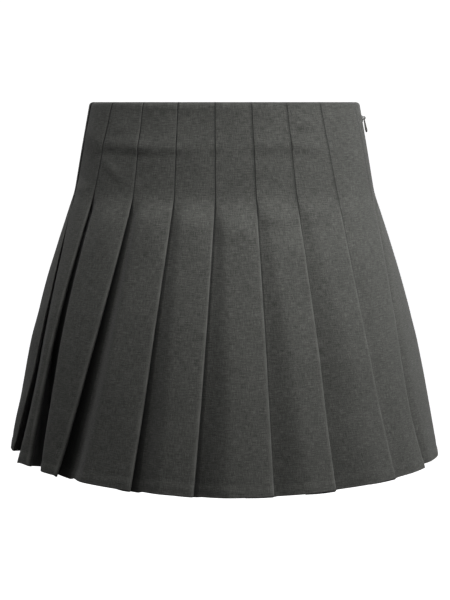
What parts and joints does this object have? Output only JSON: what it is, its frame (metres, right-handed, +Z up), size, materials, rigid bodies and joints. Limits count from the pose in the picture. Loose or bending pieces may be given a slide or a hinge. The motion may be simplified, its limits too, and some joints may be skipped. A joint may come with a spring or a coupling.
{
  "type": "pleated mini skirt",
  "caption": "Short high-waisted skirt of wool-look cloth with knife pleats sewn down over the hips, a faced top edge and a concealed side zip, in its worn, filled-out form.",
  "frame": {"origin": "centre of the waist opening, in the plane of the top edge", "axes": "+Z up, -Y out of the skirt's front, +X towards the wearer's left, where the zip is"},
  "size_m": [0.4372, 0.329, 0.3575],
  "materials": {
    "wool_front": "matt wool-look plain weave, dark grey",
    "wool_back": "matt wool-look plain weave, dark grey",
    "tape_front": "woven zip tape, charcoal",
    "tape_back": "woven zip tape, charcoal",
    "slider_metal": "satin grey enamel",
    "pull_metal": "satin grey enamel"
  },
  "bodies": {
    "skirt": {"skirt_front": "wool_front", "skirt_back": "wool_back", "zip_tape_front": "tape_front", "zip_tape_back": "tape_back", "zip_slider": "slider_metal"},
    "pull": {"zip_pull": "pull_metal"}
  },
  "joints": [
    {"name": "pull_hinge", "type": "hinge", "parent": "skirt", "child": "pull", "pos_m": [0.13818, 0, -0.01559], "axis": [0, -1, 0], "range_deg": [0, 165]}
  ]
}
